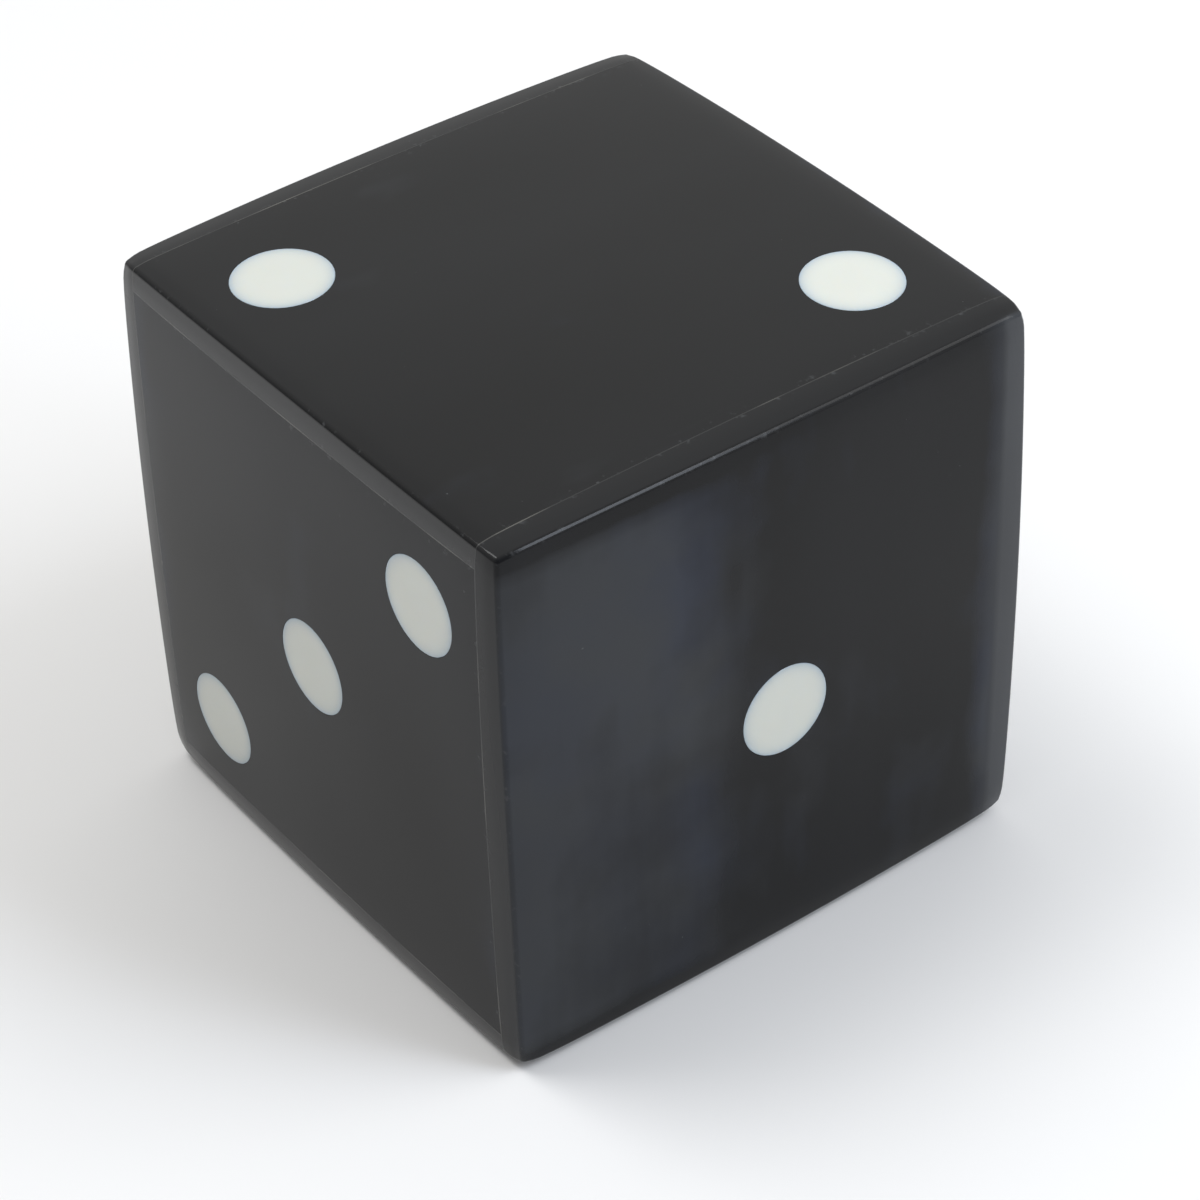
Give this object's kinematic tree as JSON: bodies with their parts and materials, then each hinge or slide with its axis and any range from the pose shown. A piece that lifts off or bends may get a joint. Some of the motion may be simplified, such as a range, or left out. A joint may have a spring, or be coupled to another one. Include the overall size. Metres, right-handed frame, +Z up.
{
  "type": "decorative die",
  "caption": "Large polished black cube die with flush white spots on every face, for tabletop games or display.",
  "frame": {"origin": "centre of the bottom face, which the die rests on", "axes": "+Z up through the two, -Y towards the front with the one, so +Y is out of the back with the six, and +X to the right, out of the face with the four"},
  "size_m": [0.075, 0.075, 0.075],
  "materials": {
    "black_sheet": "polished black resin or horn sheet, hand buffed, with faint clouding and fine scratches",
    "white_spot": "polished warm white inlay, slightly translucent at its rim",
    "glue_film": "cured clear adhesive, showing as a fine grey line in each joint",
    "core_board": "sanded medium-density fibreboard, hidden inside"
  },
  "bodies": {
    "root": {"front_sheet": "black_sheet", "back_sheet": "black_sheet", "top_sheet": "black_sheet", "bottom_sheet": "black_sheet", "left_sheet": "black_sheet", "right_sheet": "black_sheet", "front_glue_film": "glue_film", "back_glue_film": "glue_film", "top_glue_film": "glue_film", "bottom_glue_film": "glue_film", "left_glue_film": "glue_film", "right_glue_film": "glue_film", "core_board_1": "core_board", "core_board_2": "core_board", "core_board_3": "core_board", "core_board_4": "core_board", "spot_1_1": "white_spot", "spot_2_1": "white_spot", "spot_2_2": "white_spot", "spot_3_1": "white_spot", "spot_3_2": "white_spot", "spot_3_3": "white_spot", "spot_4_1": "white_spot", "spot_4_2": "white_spot", "spot_4_3": "white_spot", "spot_4_4": "white_spot", "spot_5_1": "white_spot", "spot_5_2": "white_spot", "spot_5_3": "white_spot", "spot_5_4": "white_spot", "spot_5_5": "white_spot", "spot_6_1": "white_spot", "spot_6_2": "white_spot", "spot_6_3": "white_spot", "spot_6_4": "white_spot", "spot_6_5": "white_spot", "spot_6_6": "white_spot"}
  },
  "joints": []
}
